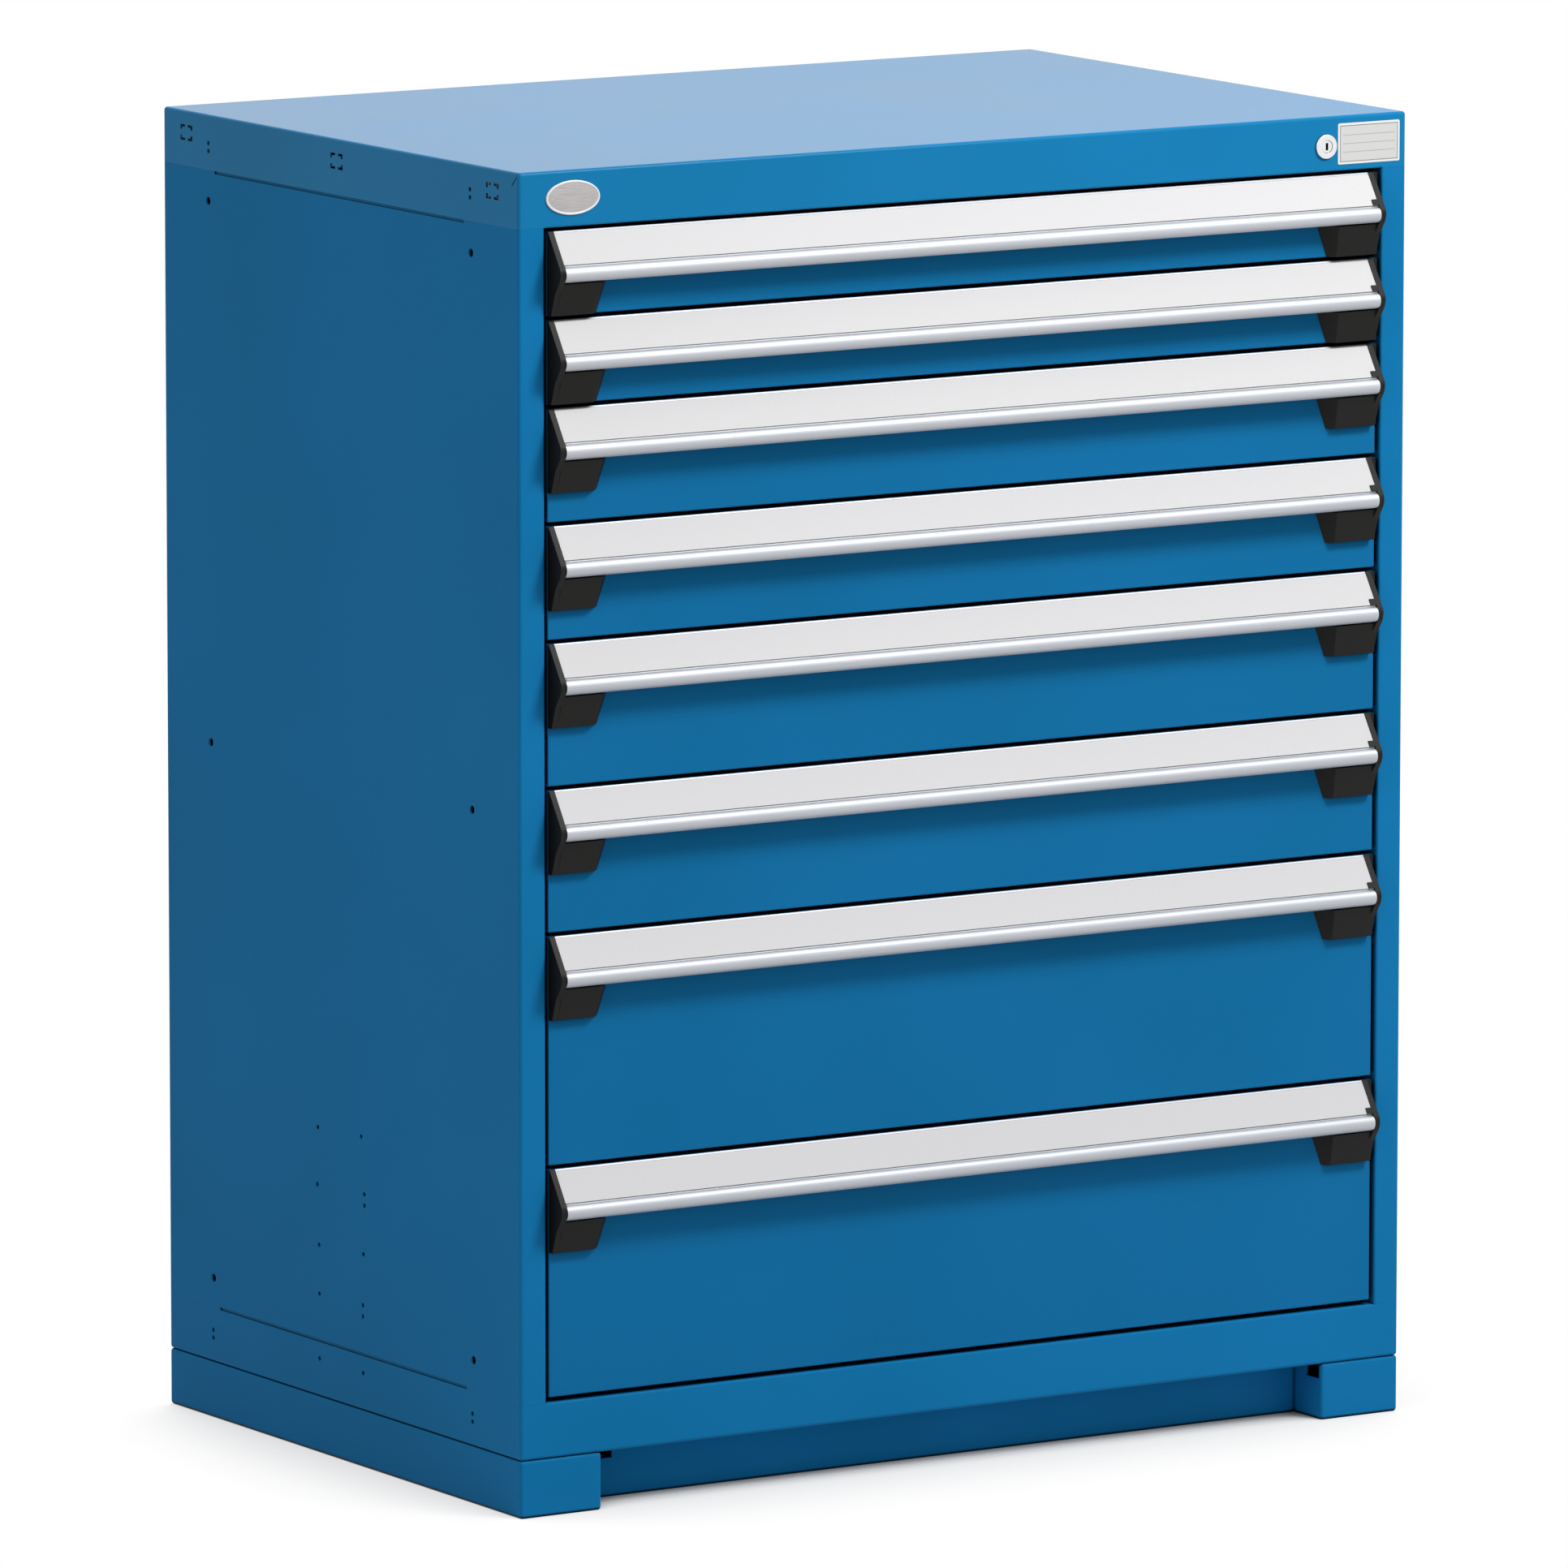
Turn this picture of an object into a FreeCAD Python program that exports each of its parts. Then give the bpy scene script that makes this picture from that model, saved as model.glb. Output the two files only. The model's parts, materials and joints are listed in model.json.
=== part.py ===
import FreeCAD, Part
import math
import os
import re
import Sketcher

# Modular drawer cabinet: a steel housing on a low base, with eight drawers on roller carriages.
# X runs to the right, the fronts face -Y and Z is up. The origin lies on the floor, in the
# middle of the footprint with the handles counted in. Millimetres and degrees.

sizes = {
    # housing and base
    "cabinetWidth": 914.4,
    "cabinetDepth": 609.6,
    "housingHeight": 1117.6,
    "baseHeight": 50.8,
    "sheet": 1.6,
    "bendRadius": 3.0,
    "rimHeight": 48.8,        # header over the drawers, and sill under them
    "stileWidth": 25.6,
    "lipBend": 1.9,
    "returnDepth": 14.0,
    "lipRise": 6.0,
    "backFlange": 18.0,
    "backSheet": 1.2,
    "backGap": 2.0,
    "backLap": 12.0,
    # holes and marks of the sides
    "linkInset": 79.4,        # linking holes, from the front and back edges
    "linkDrop": 76.2,         # and from the ends of the housing
    "linkRadius": 3.75,
    "dotRadius": 2.1,
    "seamInset": 91.0,
    "seamWidth": 2.6,
    "seamDepth": 1.2,
    "tabDrop": 19.4,          # knock-out tabs, from the top
    "tabWidth": 21.0,
    "tabHeight": 14.0,
    "slitWidth": 2.2,
    "slitLength": 8.0,
    "slitHeight": 4.4,
    "slitLeg": 3.0,
    "cornerSlit": 8.0,
    "cornerSlitWidth": 1.4,
    # base
    "baseSheet": 2.0,
    "footWidth": 81.5,
    "toeDepth": 44.0,
    "baseFlange": 20.0,
    "footNotch": 14.0,        # in the inner side of each foot, from the top
    "footNotchStart": 4.5,
    "footNotchEnd": 25.0,
    "kickNotch": 16.0,        # in the kick panel beside the left foot
    "kickNotchWidth": 37.0,
    # drawer fronts
    "drawerUnit": 25.4,
    "frontWidth": 855.4,
    "frontDepth": 12.0,
    "frontRecess": 2.2,
    "frontSheet": 1.6,
    "frontBend": 1.2,
    "frontGap": 3.5,
    "frontDrop": 1.3,
    # handle, measured out from the drawer front and down from its top edge
    "handleReach": 23.0,
    "handleShift": -2.2,      # the grips sit a little left of the middle
    "handleTop": 0.6,
    "faceAngle": 33.3,
    "labelStart": 1.6,
    "labelEnd": 32.6,
    "labelPocketEnd": 34.2,
    "labelPocket": 1.0,
    "lipRadius": 7.2,
    "lipWall": 2.2,
    "lipLevel": 35.7,
    "lipStart": 65.0,
    "lipEnd": 105.0,
    "handleLeg": 2.0,
    "handleLegDrop": 14.0,
    "labelThickness": 0.9,
    "labelPlay": 0.1,
    # end caps of the handle
    "capInset": 2.5,
    "capPlate": 5.5,
    "capTop": 1.1,
    "capNose": 22.8,
    "capNoseLevel": 33.0,
    "capChin": 21.0,
    "capChinLevel": 41.0,
    "capWaist": 12.5,
    "capWaistLevel": 53.0,
    "capFoot": 6.0,
    "capDrop": 72.4,
    "capNoseRound": 9.0,
    "capChinRound": 9.0,
    "capWaistRound": 8.0,
    "capFootRound": 1.0,
    "blockLevel": 44.2,
    "blockReach": 16.0,
    "blockWidth": 53.4,
    "blockFootWidth": 43.1,
    "blockSlope": 13.0,
    "blockFootSlope": 6.5,
    "lugSize": 5.5,
    "lugLength": 5.5,
    "lugRoot": 0.5,
    "capFlange": 1.0,         # thin edge that closes the strip beside the right cap
    # trays and their rails
    "trayWidth": 830.0,
    "trayLength": 560.0,
    "traySheet": 1.2,
    "trayBend": 2.5,
    "trayFoot": 6.0,
    "trayHead": 8.0,
    "hemHeight": 10.0,
    "railHeight": 22.0,
    "railSheet": 1.5,
    "railLevel": 22.0,
    "drawerRailDepth": 10.5,
    # roller carriages
    "carriageBar": 3.0,
    "carriageHeight": 20.0,
    "carriageOuter": 429.5,
    "carriageStart": 20.0,
    "carriageLength": 555.0,
    "rollerRadius": 9.0,
    "innerRollerWidth": 8.5,
    "outerRollerWidth": 14.0,
    "innerRollerFront": 32.0,
    "innerRollerRear": 290.0,
    "outerRollerFront": 330.0,
    "outerRollerRear": 560.0,
    # cabinet rails and uprights
    "cabinetRailDepth": 14.9,
    "cabinetRailStart": 26.0,
    "cabinetRailEnd": 24.0,
    "uprightDepth": 8.0,
    "uprightWidth": 30.0,
    "uprightSheet": 1.5,
    "uprightGap": 4.0,
    "uprightStart": 24.0,
    "uprightEnd": 22.0,
    "hookSlotWidth": 3.0,
    "hookSlotHeight": 12.0,
    # lock
    "lockInset": 85.5,
    "lockDrop": 26.3,
    "bezelRadius": 10.9,
    "bezelHeight": 2.5,
    "bezelRound": 1.2,
    "barrelRadius": 9.0,
    "barrelLength": 10.0,
    "barrelPlay": 0.2,
    "lockBore": 5.8,
    "plugRadius": 5.5,
    "plugHeight": 2.0,
    "crankGap": 0.5,
    "crankRadius": 10.5,
    "crankThickness": 3.0,
    "crankThrow": 5.0,
    "crankPin": 2.0,
    "crankPinLength": 5.5,
    "keySlotWidth": 2.6,
    "keySlotLength": 6.6,
    "keySlotDepth": 6.0,
    "lockBarInner": 433.8,
    "lockBarSheet": 2.5,
    "lockBarStart": 10.0,
    "lockBarEnd": 22.0,
    "armStart": 14.5,
    "armHalfHeight": 10.0,
    "forkGap": 2.5,
    "forkEnd": 6.0,
    "forkStart": 3.5,
    "fingerReach": 12.0,
    "fingerStart": 17.0,
    "fingerTop": 12.0,
    "fingerHeight": 8.0,
    "catchTop": 21.5,
    "catchStart": 24.0,
    "catchLength": 6.0,
    "catchPlay": 0.5,
    # badge
    "badgeInset": 53.8,
    "badgeDrop": 23.8,
    "badgeWidth": 54.0,
    "badgeHeight": 30.0,
    "badgeThickness": 1.6,
}

# heights of the drawer fronts from the top one down, in drawer units
drawerUnits = [3, 3, 4, 4, 5, 5, 8, 8]
headerUnits = 2
tolerance = 0.01

# marks on the sides: tabs from the back edge, and dots from the back edge and from the top
tabPlaces = [41.3, 303.1, 566.3]
topDots = [(80, 25), (80, 32), (528.8, 21.5), (528.8, 28.5)]
sideDots = [(264.4, 876.9), (339.4, 873.8), (263.1, 928.1), (344.4, 924.6), (344.4, 934.6),
            (265.6, 981.9), (342.5, 978.1), (265.6, 1025.6), (341.3, 1023.8), (341.3, 1033.8)]
bottomDots = [(78.1, 1089), (78.1, 1096), (528.1, 1089), (528.1, 1096), (265.6, 1083.8), (341.3, 1084.4)]

# places worked out from the sizes
half = "(cabinetWidth / 2)"
front = "((handleReach - frontRecess - cabinetDepth) / 2)"
back = "((handleReach - frontRecess + cabinetDepth) / 2)"
top = "(baseHeight + housingHeight)"
headerEdge = f"({top} - rimHeight)"
sillEdge = "(baseHeight + rimHeight)"
openingHalf = f"({half} - stileWidth)"
innerHalf = f"({half} - sheet)"
drawerFace = f"({front} + frontRecess)"
handleHalf = "(frontWidth / 2 - capInset - capPlate)"
barInner = "(carriageOuter - carriageBar)"
railBack = f"({innerHalf} - uprightDepth)"
lockX = f"({half} - lockInset)"
lockZ = f"({top} - lockDrop)"
throughSheet = "(4 * sheet)"
throughCabinet = "(2 * cabinetWidth)"

doc = FreeCAD.newDocument("DrawerCabinet")
sheet = doc.addObject("Spreadsheet::Sheet", "Sizes")
for row, (name, value) in enumerate(sizes.items(), start=1):
    sheet.set(f"A{row}", name)
    sheet.set(f"B{row}", str(value))
    sheet.setAlias(f"B{row}", name)
doc.recompute()


def bound(text):
    # the expression with the name of each size pointed at its cell
    return re.sub(r"[A-Za-z]\w*", lambda word: "Sizes." + word[0] if word[0] in sizes else word[0],
                  str(text))


def bind(item, prop, text):
    item.setExpression(prop, bound(text))


def number(text):
    # the value of an expression in millimetres
    value = sheet.evalExpression(bound(text))
    return float(getattr(value, "Value", value))


def block(name, low, high):
    # a box between two corners
    solid = doc.addObject("Part::Box", name)
    for side, axis, start, finish in zip(("Length", "Width", "Height"), "xyz", low, high):
        bind(solid, side, f"({finish}) - ({start})")
        bind(solid, f"Placement.Base.{axis}", start)
    return solid


def cylinderAlongX(name, radius, length, x, y, z):
    solid = doc.addObject("Part::Cylinder", name)
    turn = FreeCAD.Rotation(FreeCAD.Vector(0, 1, 0), 90)
    solid.Placement = FreeCAD.Placement(FreeCAD.Vector(), turn)
    bind(solid, "Radius", radius)
    bind(solid, "Height", length)
    for axis, value in zip("xyz", (x, y, z)):
        bind(solid, f"Placement.Base.{axis}", value)
    return solid


def cut(name, base, tool):
    result = doc.addObject("Part::Cut", name)
    result.Base = base
    result.Tool = tool
    return result


def group(name, members):
    # separate solids that share one node
    result = doc.addObject("Part::Compound", name)
    result.Links = members
    return result


def mirrored(name, source, middle):
    # the same shape on the other side of a plane across X
    result = doc.addObject("Part::Mirroring", name)
    result.Source = source
    result.Normal = FreeCAD.Vector(1, 0, 0)
    bind(result, "Base.x", middle)
    return result


def newBody(label, place=("0", "0", "0")):
    body = doc.addObject("PartDesign::Body", label)
    for axis, value in zip("xyz", place):
        bind(body, f"Placement.Base.{axis}", value)
    return body


def sketchOn(body, plane, offset="0"):
    sketch = body.newObject("Sketcher::SketchObject", body.Name + "Sketch")
    support = [item for item in body.Origin.OriginFeatures if item.Role == plane][0]
    sketch.AttachmentSupport = [(support, "")]
    sketch.MapMode = "FlatFace"
    bind(sketch, "AttachmentOffset.Base.z", offset)
    return sketch


def fixPoint(sketch, geometry, point, x, y):
    # hold a point of the sketch at two expressions
    for kind, text in (("DistanceX", x), ("DistanceY", y)):
        index = sketch.addConstraint(Sketcher.Constraint(kind, -1, 1, geometry, point, number(text)))
        sketch.setExpression(f"Constraints[{index}]", bound(text))


def fixRadius(sketch, geometry, radius):
    index = sketch.addConstraint(Sketcher.Constraint("Radius", geometry, number(radius)))
    sketch.setExpression(f"Constraints[{index}]", bound(radius))


def circle(sketch, x, y, radius):
    centre = FreeCAD.Vector(number(x), number(y), 0)
    ring = sketch.addGeometry(Part.Circle(centre, FreeCAD.Vector(0, 0, 1), number(radius)), False)
    fixPoint(sketch, ring, 3, x, y)
    fixRadius(sketch, ring, radius)


def outline(sketch, corners):
    # A closed outline. A corner is (x, y), or (x, y, radius) where it is rounded. A corner
    # (x, y, radius, turn) starts an arc to the next one, turning left (1) or right (-1).
    count = len(corners)
    points = [FreeCAD.Vector(number(corner[0]), number(corner[1]), 0) for corner in corners]
    starts, ends, fillets = [], [], {}
    for i, corner in enumerate(corners):
        here = points[i]
        if len(corner) == 3:
            toLast = (points[i - 1] - here).normalize()
            toNext = (points[(i + 1) % count] - here).normalize()
            radius = number(corner[2])
            halfAngle = toLast.getAngle(toNext) / 2
            reach = radius / math.tan(halfAngle)
            centre = here + (toLast + toNext).normalize() * (radius / math.sin(halfAngle))
            fillets[i] = (here + toLast * reach, centre, here + toNext * reach, radius)
        ends.append(fillets[i][0] if i in fillets else here)
        starts.append(fillets[i][2] if i in fillets else here)
    edges = []
    for i, corner in enumerate(corners):
        start, end = starts[i], ends[(i + 1) % count]
        if len(corner) == 4:
            arc = arcBetween(start, end, number(corner[2]), corner[3])
            edges.append(sketch.addGeometry(arc, False))
        else:
            edges.append(sketch.addGeometry(Part.LineSegment(start, end), False))
    for i, corner in enumerate(corners):
        last, edge = edges[i - 1], edges[i]
        lastEnd = arcPoint(corners[i - 1], last=True)
        edgeStart = arcPoint(corner, last=False)
        if i in fillets:
            before, centre, after, radius = fillets[i]
            mark = sketch.addGeometry(Part.Point(points[i]), True)
            fixPoint(sketch, mark, 1, corner[0], corner[1])
            turn = (points[i] - before).cross(after - points[i]).z
            bend = sketch.addGeometry(arcBetween(before, after, radius, 1 if turn > 0 else -1), False)
            first, second = (1, 2) if turn > 0 else (2, 1)
            for line, end in ((last, 2), (edge, 1)):
                sketch.addConstraint(Sketcher.Constraint("PointOnObject", mark, 1, line))
                bendEnd = first if line == last else second
                sketch.addConstraint(Sketcher.Constraint("Tangent", line, end, bend, bendEnd))
            fixRadius(sketch, bend, corner[2])
        else:
            sketch.addConstraint(Sketcher.Constraint("Coincident", last, lastEnd, edge, edgeStart))
            fixPoint(sketch, edge, edgeStart, corner[0], corner[1])
            if len(corner) == 4:
                fixRadius(sketch, edge, corner[2])


def arcBetween(start, end, radius, turn):
    # the short arc from start to end, turning left (1) or right (-1)
    chord = end - start
    rise = math.sqrt(radius ** 2 - (chord.Length / 2) ** 2)
    across = FreeCAD.Vector(-chord.y, chord.x, 0).normalize()
    centre = (start + end) / 2 + across * rise * turn
    first, second = (start, end) if turn > 0 else (end, start)
    low = math.atan2(first.y - centre.y, first.x - centre.x)
    high = math.atan2(second.y - centre.y, second.x - centre.x)
    if high < low:
        high += 2 * math.pi
    return Part.ArcOfCircle(Part.Circle(centre, FreeCAD.Vector(0, 0, 1), radius), low, high)


def arcPoint(corner, last):
    # which end of its own edge lies at the corner: an arc that turns right is stored backwards
    turnsRight = len(corner) == 4 and corner[3] < 0
    if last:
        return 1 if turnsRight else 2
    return 2 if turnsRight else 1


def rectangle(sketch, x0, x1, y0, y1):
    outline(sketch, [(x0, y0), (x1, y0), (x1, y1), (x0, y1)])


def check(feature):
    doc.recompute()
    if "Invalid" in feature.State or "Error" in feature.State or feature.Shape.isNull():
        raise RuntimeError(f"{feature.Name} failed: {feature.State}")
    return feature


def pad(body, sketch, length, backwards=False, centred=False):
    feature = body.newObject("PartDesign::Pad", body.Name + "Pad")
    feature.Profile = sketch
    bind(feature, "Length", length)
    feature.Reversed = backwards
    feature.Midplane = centred
    return check(feature)


def pocket(body, sketch, length, backwards=False, centred=False):
    before = body.Shape.Volume
    feature = body.newObject("PartDesign::Pocket", body.Name + "Pocket")
    feature.Profile = sketch
    bind(feature, "Length", length)
    feature.Reversed = backwards
    feature.Midplane = centred
    check(feature)
    if feature.Shape.Volume > before - tolerance:
        raise RuntimeError(f"{feature.Name} cuts nothing")
    return feature


def fillet(body, radius, chosen):
    # round the edges of the body that the test picks
    base = body.Tip
    names = [f"Edge{i + 1}" for i, edge in enumerate(base.Shape.Edges) if chosen(edge)]
    feature = body.newObject("PartDesign::Fillet", body.Name + "Fillet")
    feature.Base = (base, names)
    bind(feature, "Radius", radius)
    return check(feature)


def hollow(body, wall, openFace):
    # thin the body to a wall, open at the faces that the test picks
    base = body.Tip
    names = [f"Face{i + 1}" for i, face in enumerate(base.Shape.Faces) if openFace(face)]
    feature = body.newObject("PartDesign::Thickness", body.Name + "Thickness")
    feature.Base = (base, names)
    bind(feature, "Value", wall)
    feature.Reversed = True
    return check(feature)


def near(value, text):
    return abs(value - number(text)) < tolerance


def flatAt(item, z):
    # whether a whole edge or face lies at a height
    return near(item.BoundBox.ZMin, z) and near(item.BoundBox.ZMax, z)


def seamPan(label, low, high, openAt):
    # the deep pan at either end of the housing: a plate with a rim turned round all four sides
    body = newBody(label)
    sketch = sketchOn(body, "XY_Plane", low)
    rectangle(sketch, f"-{half}", half, front, back)
    pad(body, sketch, f"{high} - {low}")
    fillet(body, "bendRadius", lambda edge: not flatAt(edge, openAt))
    hollow(body, "sheet", lambda face: flatAt(face, openAt))
    return body


def drawerEdgeLip(body, edge, inward):
    # the rounded lip along the drawer opening, turned back into the cabinet
    gap = sketchOn(body, "XZ_Plane", f"-({front})")
    rectangle(gap, f"-{openingHalf}", openingHalf, edge, f"{edge} + {inward} * lipRise")
    pocket(body, gap, throughSheet, centred=True)
    lip = sketchOn(body, "YZ_Plane")
    outline(lip, [
        (front, f"{edge} + {inward} * lipRise"),
        (front, edge, "lipBend"),
        (f"{front} + returnDepth", edge),
        (f"{front} + returnDepth", f"{edge} + {inward} * sheet"),
        (f"{front} + sheet", f"{edge} + {inward} * sheet", "lipBend - sheet"),
        (f"{front} + sheet", f"{edge} + {inward} * lipRise"),
    ])
    pad(body, lip, f"2 * {openingHalf}", centred=True)


def dots(sketch, places):
    # small round holes, given from the back edge and from the top
    for fromBack, fromTop in places:
        circle(sketch, f"{back} - {fromBack}", f"{top} - {fromTop}", "dotRadius")


def tabSlits(sketch, fromBack):
    # four L-shaped slits round the corners of a knock-out tab
    for along in (-1, 1):
        for up in (-1, 1):
            y = f"{back} - {fromBack} + {along} * tabWidth / 2"
            z = f"{top} - tabDrop + {up} * tabHeight / 2"
            innerY, innerZ = f"{y} - {along} * slitLeg", f"{z} - {up} * slitWidth"
            endY, endZ = f"{y} - {along} * slitLength", f"{z} - {up} * slitHeight"
            outline(sketch, [(y, z), (endY, z), (endY, innerZ),
                             (innerY, innerZ), (innerY, endZ), (y, endZ)])


def topPan():
    body = seamPan("top_pan", headerEdge, top, headerEdge)
    drawerEdgeLip(body, headerEdge, 1)
    lockHole = sketchOn(body, "XZ_Plane", f"-({front})")
    circle(lockHole, lockX, lockZ, "barrelRadius + barrelPlay")
    pocket(body, lockHole, throughSheet, centred=True)
    marks = sketchOn(body, "YZ_Plane")
    for fromBack in tabPlaces:
        tabSlits(marks, fromBack)
    dots(marks, topDots)
    cornerY, cornerZ = f"({front} + bendRadius)", f"({top} - bendRadius)"
    outline(marks, [
        (cornerY, f"{cornerZ} - cornerSlitWidth"),
        (f"{cornerY} + cornerSlit", f"{cornerZ} - cornerSlit - cornerSlitWidth"),
        (f"{cornerY} + cornerSlit", f"{cornerZ} - cornerSlit"),
        (cornerY, cornerZ),
    ])
    pocket(body, marks, throughCabinet, centred=True)
    return body


def bottomPan():
    body = seamPan("bottom_pan", "baseHeight", sillEdge, sillEdge)
    drawerEdgeLip(body, sillEdge, -1)
    marks = sketchOn(body, "YZ_Plane")
    dots(marks, bottomDots)
    pocket(body, marks, throughCabinet, centred=True)
    return body


def sidePanel(label, side):
    # one bent sheet: back flange, side, front stile and the lip turned back beside the drawers
    def x(text):
        return f"{side} * ({text})"

    body = newBody(label)
    section = sketchOn(body, "XY_Plane", sillEdge)
    outline(section, [
        (x(f"{half} - backFlange"), back),
        (x(half), back, "bendRadius"),
        (x(half), front, "bendRadius"),
        (x(openingHalf), front, "lipBend"),
        (x(openingHalf), f"{front} + returnDepth"),
        (x(f"{openingHalf} + sheet"), f"{front} + returnDepth"),
        (x(f"{openingHalf} + sheet"), f"{front} + sheet", "lipBend - sheet"),
        (x(innerHalf), f"{front} + sheet", "bendRadius - sheet"),
        (x(innerHalf), f"{back} - sheet", "bendRadius - sheet"),
        (x(f"{half} - backFlange"), f"{back} - sheet"),
    ])
    pad(body, section, f"{headerEdge} - {sillEdge}")
    holes = sketchOn(body, "YZ_Plane", x(half))
    for y in (f"{front} + linkInset", f"{back} - linkInset"):
        for z in (f"{top} - linkDrop", f"{top} - housingHeight / 2", "baseHeight + linkDrop"):
            circle(holes, y, z, "linkRadius")
    dots(holes, sideDots)
    pocket(body, holes, throughSheet, centred=True)
    seams = sketchOn(body, "YZ_Plane", x(half))
    for low, high in ((f"{headerEdge} - seamWidth", headerEdge), (sillEdge, f"{sillEdge} + seamWidth")):
        rectangle(seams, f"{front} + seamInset", f"{back} - seamInset", low, high)
    pocket(body, seams, "seamDepth", backwards=side < 0)
    return body


def backPanel():
    return block("back_panel",
                 (f"-({innerHalf} - backGap)", f"{back} - sheet - backSheet", f"{sillEdge} - backLap"),
                 (f"{innerHalf} - backGap", f"{back} - sheet", f"{headerEdge} + backLap"))


def baseFrame():
    # a low welded frame with a flange at top and bottom, set back under the sill for the toes
    def footprint(sketch, inset):
        kick = f"{front} + toeDepth + {inset}"
        foot = f"{half} - footWidth + {inset}"
        outline(sketch, [
            (f"-({half} - {inset})", f"{front} + {inset}"),
            (f"-({foot})", f"{front} + {inset}"),
            (f"-({foot})", kick),
            (foot, kick),
            (foot, f"{front} + {inset}"),
            (f"{half} - {inset}", f"{front} + {inset}"),
            (f"{half} - {inset}", f"{back} - {inset}"),
            (f"-({half} - {inset})", f"{back} - {inset}"),
        ])

    body = newBody("base_frame")
    outer = sketchOn(body, "XY_Plane")
    footprint(outer, "0")
    pad(body, outer, "baseHeight")
    fillet(body, "bendRadius", outerBaseEdge)
    inside = sketchOn(body, "XY_Plane")
    rectangle(inside, f"-({half} - baseFlange)", f"{half} - baseFlange",
              f"{front} + toeDepth + baseFlange", f"{back} - baseFlange")
    pocket(body, inside, "baseHeight", backwards=True)
    cavity = sketchOn(body, "XY_Plane", "baseSheet")
    footprint(cavity, "baseSheet")
    pocket(body, cavity, "baseHeight - 2 * baseSheet", backwards=True)
    inKick = sketchOn(body, "XZ_Plane", f"-({front} + toeDepth)")
    rectangle(inKick, f"footWidth - {half}", f"footWidth - {half} + kickNotchWidth",
              "baseHeight - kickNotch", "baseHeight")
    pocket(body, inKick, "4 * baseSheet", centred=True)
    inFeet = sketchOn(body, "YZ_Plane")
    rectangle(inFeet, f"{front} + footNotchStart", f"{front} + footNotchEnd",
              "baseHeight - footNotch", "baseHeight")
    pocket(body, inFeet, f"2 * ({half} - footWidth + 2 * baseSheet)", centred=True)
    return body


def outerBaseEdge(edge):
    # every outer edge of the base, but not the inner corners of the toe space
    box = edge.BoundBox
    upright = box.ZMax - box.ZMin > 1
    inToe = near(box.YMin, f"{front} + toeDepth") and near(box.YMax, f"{front} + toeDepth")
    return not (upright and inToe)


def uprights():
    # slotted posts that carry the rails, behind the stiles and at the back corners
    firstSlot = f"({top} - {headerUnits + 1} * drawerUnit)"
    members = []
    for end, start in (("Front", f"{front} + uprightStart"),
                       ("Rear", f"{back} - uprightEnd - uprightWidth")):
        for side, sideName in ((-1, "Left"), (1, "Right")):
            body = newBody(f"upright{end}{sideName}")
            section = sketchOn(body, "XY_Plane", "baseHeight + uprightGap")
            outer, web = f"{side} * {innerHalf}", f"{side} * {railBack}"
            face = f"{side} * ({railBack} + uprightSheet)"
            finish = f"{start} + uprightWidth"
            outline(section, [
                (outer, start),
                (web, start),
                (web, finish),
                (outer, finish),
                (outer, f"{finish} - uprightSheet"),
                (face, f"{finish} - uprightSheet"),
                (face, f"{start} + uprightSheet"),
                (outer, f"{start} + uprightSheet"),
            ])
            pad(body, section, "housingHeight - 2 * uprightGap")
            slots = sketchOn(body, "YZ_Plane", web)
            rectangle(slots, f"{start} + uprightWidth / 2 - hookSlotWidth / 2",
                      f"{start} + uprightWidth / 2 + hookSlotWidth / 2",
                      f"{firstSlot} - hookSlotHeight / 2", f"{firstSlot} + hookSlotHeight / 2")
            first = pocket(body, slots, "4 * uprightSheet", centred=True)
            rows = body.newObject("PartDesign::LinearPattern", body.Name + "Rows")
            rows.Originals = [first]
            rows.Direction = (slots, ["V_Axis"])
            rows.Reversed = True
            rows.Occurrences = sum(drawerUnits)
            bind(rows, "Length", f"drawerUnit * {sum(drawerUnits) - 1}")
            body.Tip = rows
            check(rows)
            members.append(body)
    return group("slotted_uprights", members)


def channel(name, side, inner, outer, y0, y1, level, openInward):
    # a rail of C section along Y: a web with two flanges, open to one side
    low, high = f"{level} - railHeight / 2", f"{level} + railHeight / 2"
    left, right = (inner, outer) if side > 0 else (f"-({outer})", f"-({inner})")
    bar = block(name + "Bar", (left, y0, low), (right, y1, high))
    webOnRight = openInward == (side > 0)
    grooveLeft = left if webOnRight else f"{left} + railSheet"
    grooveRight = f"{right} - railSheet" if webOnRight else right
    groove = block(name + "Groove", (grooveLeft, y0, f"{low} + railSheet"),
                   (grooveRight, y1, f"{high} - railSheet"))
    return cut(name, bar, groove)


def drawerTop(index):
    # the top edge of a drawer's front
    return f"({top} - drawerUnit * {headerUnits + sum(drawerUnits[:index])} - frontDrop)"


def frontHeight(index):
    return f"(drawerUnit * {drawerUnits[index]} - frontGap)"


def railHeightOf(index):
    return f"({drawerTop(index)} - {frontHeight(index)} + railLevel)"


def cabinetRails():
    members = []
    for index in range(len(drawerUnits)):
        for side, sideName in ((-1, "Left"), (1, "Right")):
            members.append(channel(
                f"cabinetRail{index + 1}{sideName}", side, f"{railBack} - cabinetRailDepth", railBack,
                f"{front} + cabinetRailStart", f"{back} - cabinetRailEnd", railHeightOf(index), True))
    return group("cabinet_rails", members)


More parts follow.
